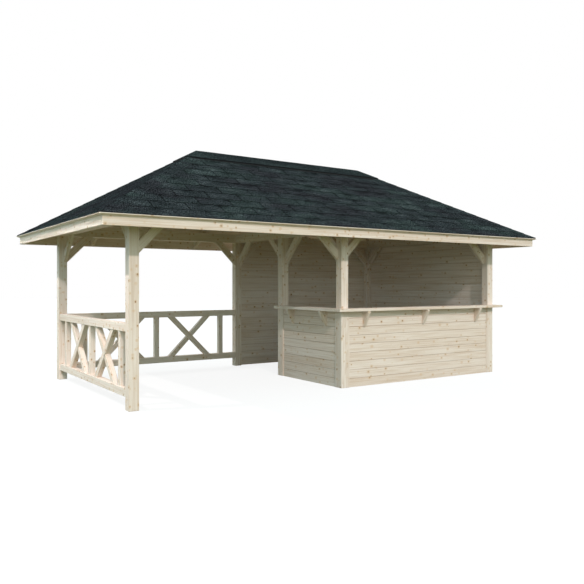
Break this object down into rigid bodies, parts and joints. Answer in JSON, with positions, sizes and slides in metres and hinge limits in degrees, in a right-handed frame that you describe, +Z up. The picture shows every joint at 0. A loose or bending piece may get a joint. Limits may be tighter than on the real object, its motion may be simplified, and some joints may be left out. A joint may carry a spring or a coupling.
{
  "type": "garden gazebo with a bar",
  "caption": "Open timber garden gazebo with a shingled hip roof, a seating bay with cross-braced railings, and a boarded bar bay with a serving counter round its corner.",
  "frame": {"origin": "on the ground under the middle of the roof, halfway along the ridge", "axes": "+X along the ridge towards the bar bay, +Y from the serving front to the back, +Z up"},
  "size_m": [7.086, 4.086, 3.355],
  "materials": {
    "timber": "planed spruce, unpainted, with small knots",
    "boards": "planed tongue and groove spruce, unpainted, with small knots",
    "shingles": "bitumen shingle with charcoal mineral granules",
    "capping": "bitumen capping with green-black mineral granules"
  },
  "bodies": {
    "root": {"front_left_post": "timber", "front_middle_post": "timber", "front_right_post": "timber", "back_left_post": "timber", "back_middle_post": "timber", "back_right_post": "timber", "bar_post": "timber", "front_beam": "timber", "back_beam": "timber", "left_beam": "timber", "middle_beam": "timber", "right_beam": "timber", "front_braces": "timber", "back_braces": "timber", "left_braces": "timber", "middle_braces": "timber", "right_braces": "timber", "ridge_beam": "timber", "hip_rafters": "timber", "side_rafters": "timber", "end_rafters": "timber", "front_roof_boards": "boards", "back_roof_boards": "boards", "left_roof_boards": "boards", "right_roof_boards": "boards", "front_shingles": "shingles", "back_shingles": "shingles", "left_shingles": "shingles", "right_shingles": "shingles", "ridge_cap": "capping", "hip_caps": "capping", "front_fascia": "boards", "back_fascia": "boards", "left_fascia": "boards", "right_fascia": "boards", "eave_trim": "boards", "left_railing": "timber", "back_railing": "timber", "back_wall": "boards", "right_wall": "boards", "bar_front_wall": "boards", "bar_side_wall": "boards", "wall_battens": "timber", "front_counter": "boards", "side_counter": "boards", "counter_brackets": "timber"}
  },
  "joints": []
}
